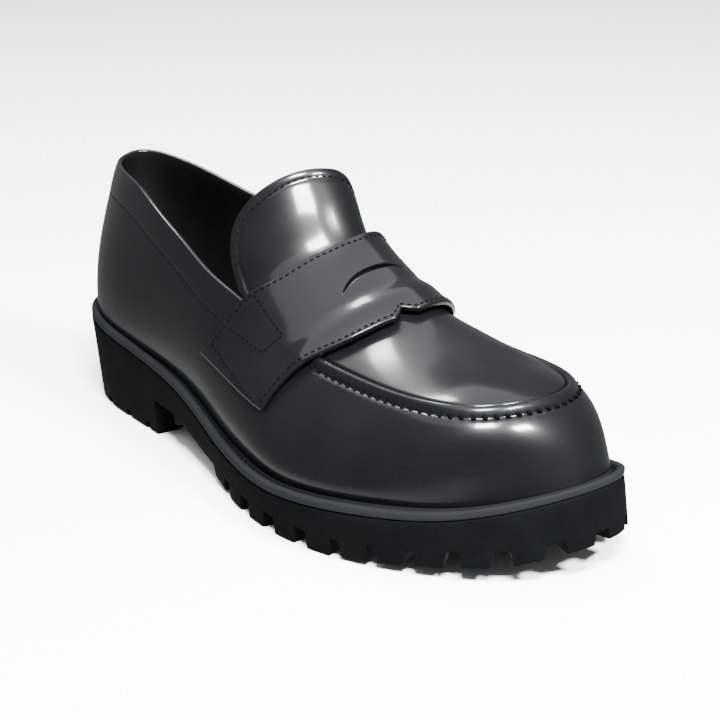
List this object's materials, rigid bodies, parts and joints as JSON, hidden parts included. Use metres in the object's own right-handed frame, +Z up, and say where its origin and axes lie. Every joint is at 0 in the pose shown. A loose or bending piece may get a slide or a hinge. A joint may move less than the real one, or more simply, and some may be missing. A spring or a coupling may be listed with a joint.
{
  "type": "chunky lug sole loafer",
  "caption": "Black polished leather penny loafer with a saddle strap, rolled apron seam, upright tongue and thick lugged rubber sole, one shoe standing empty on its sole",
  "frame": {"origin": "on the floor, in the middle of the shoe's bounding box", "axes": "+Z up, toe towards -Y, heel towards +Y, medial side of this right shoe towards +X"},
  "size_m": [0.1153, 0.2983, 0.1214],
  "materials": {
    "outsole": "matte moulded rubber",
    "welt": "matte rubber strip with stitching",
    "insole": "smooth black lining leather",
    "upper": "polished smooth black leather",
    "strap": "polished smooth black leather",
    "tongue": "polished smooth black leather"
  },
  "bodies": {
    "root": {"outsole": "outsole", "welt": "welt", "insole": "insole", "upper": "upper", "strap": "strap", "tongue": "tongue"}
  },
  "joints": []
}
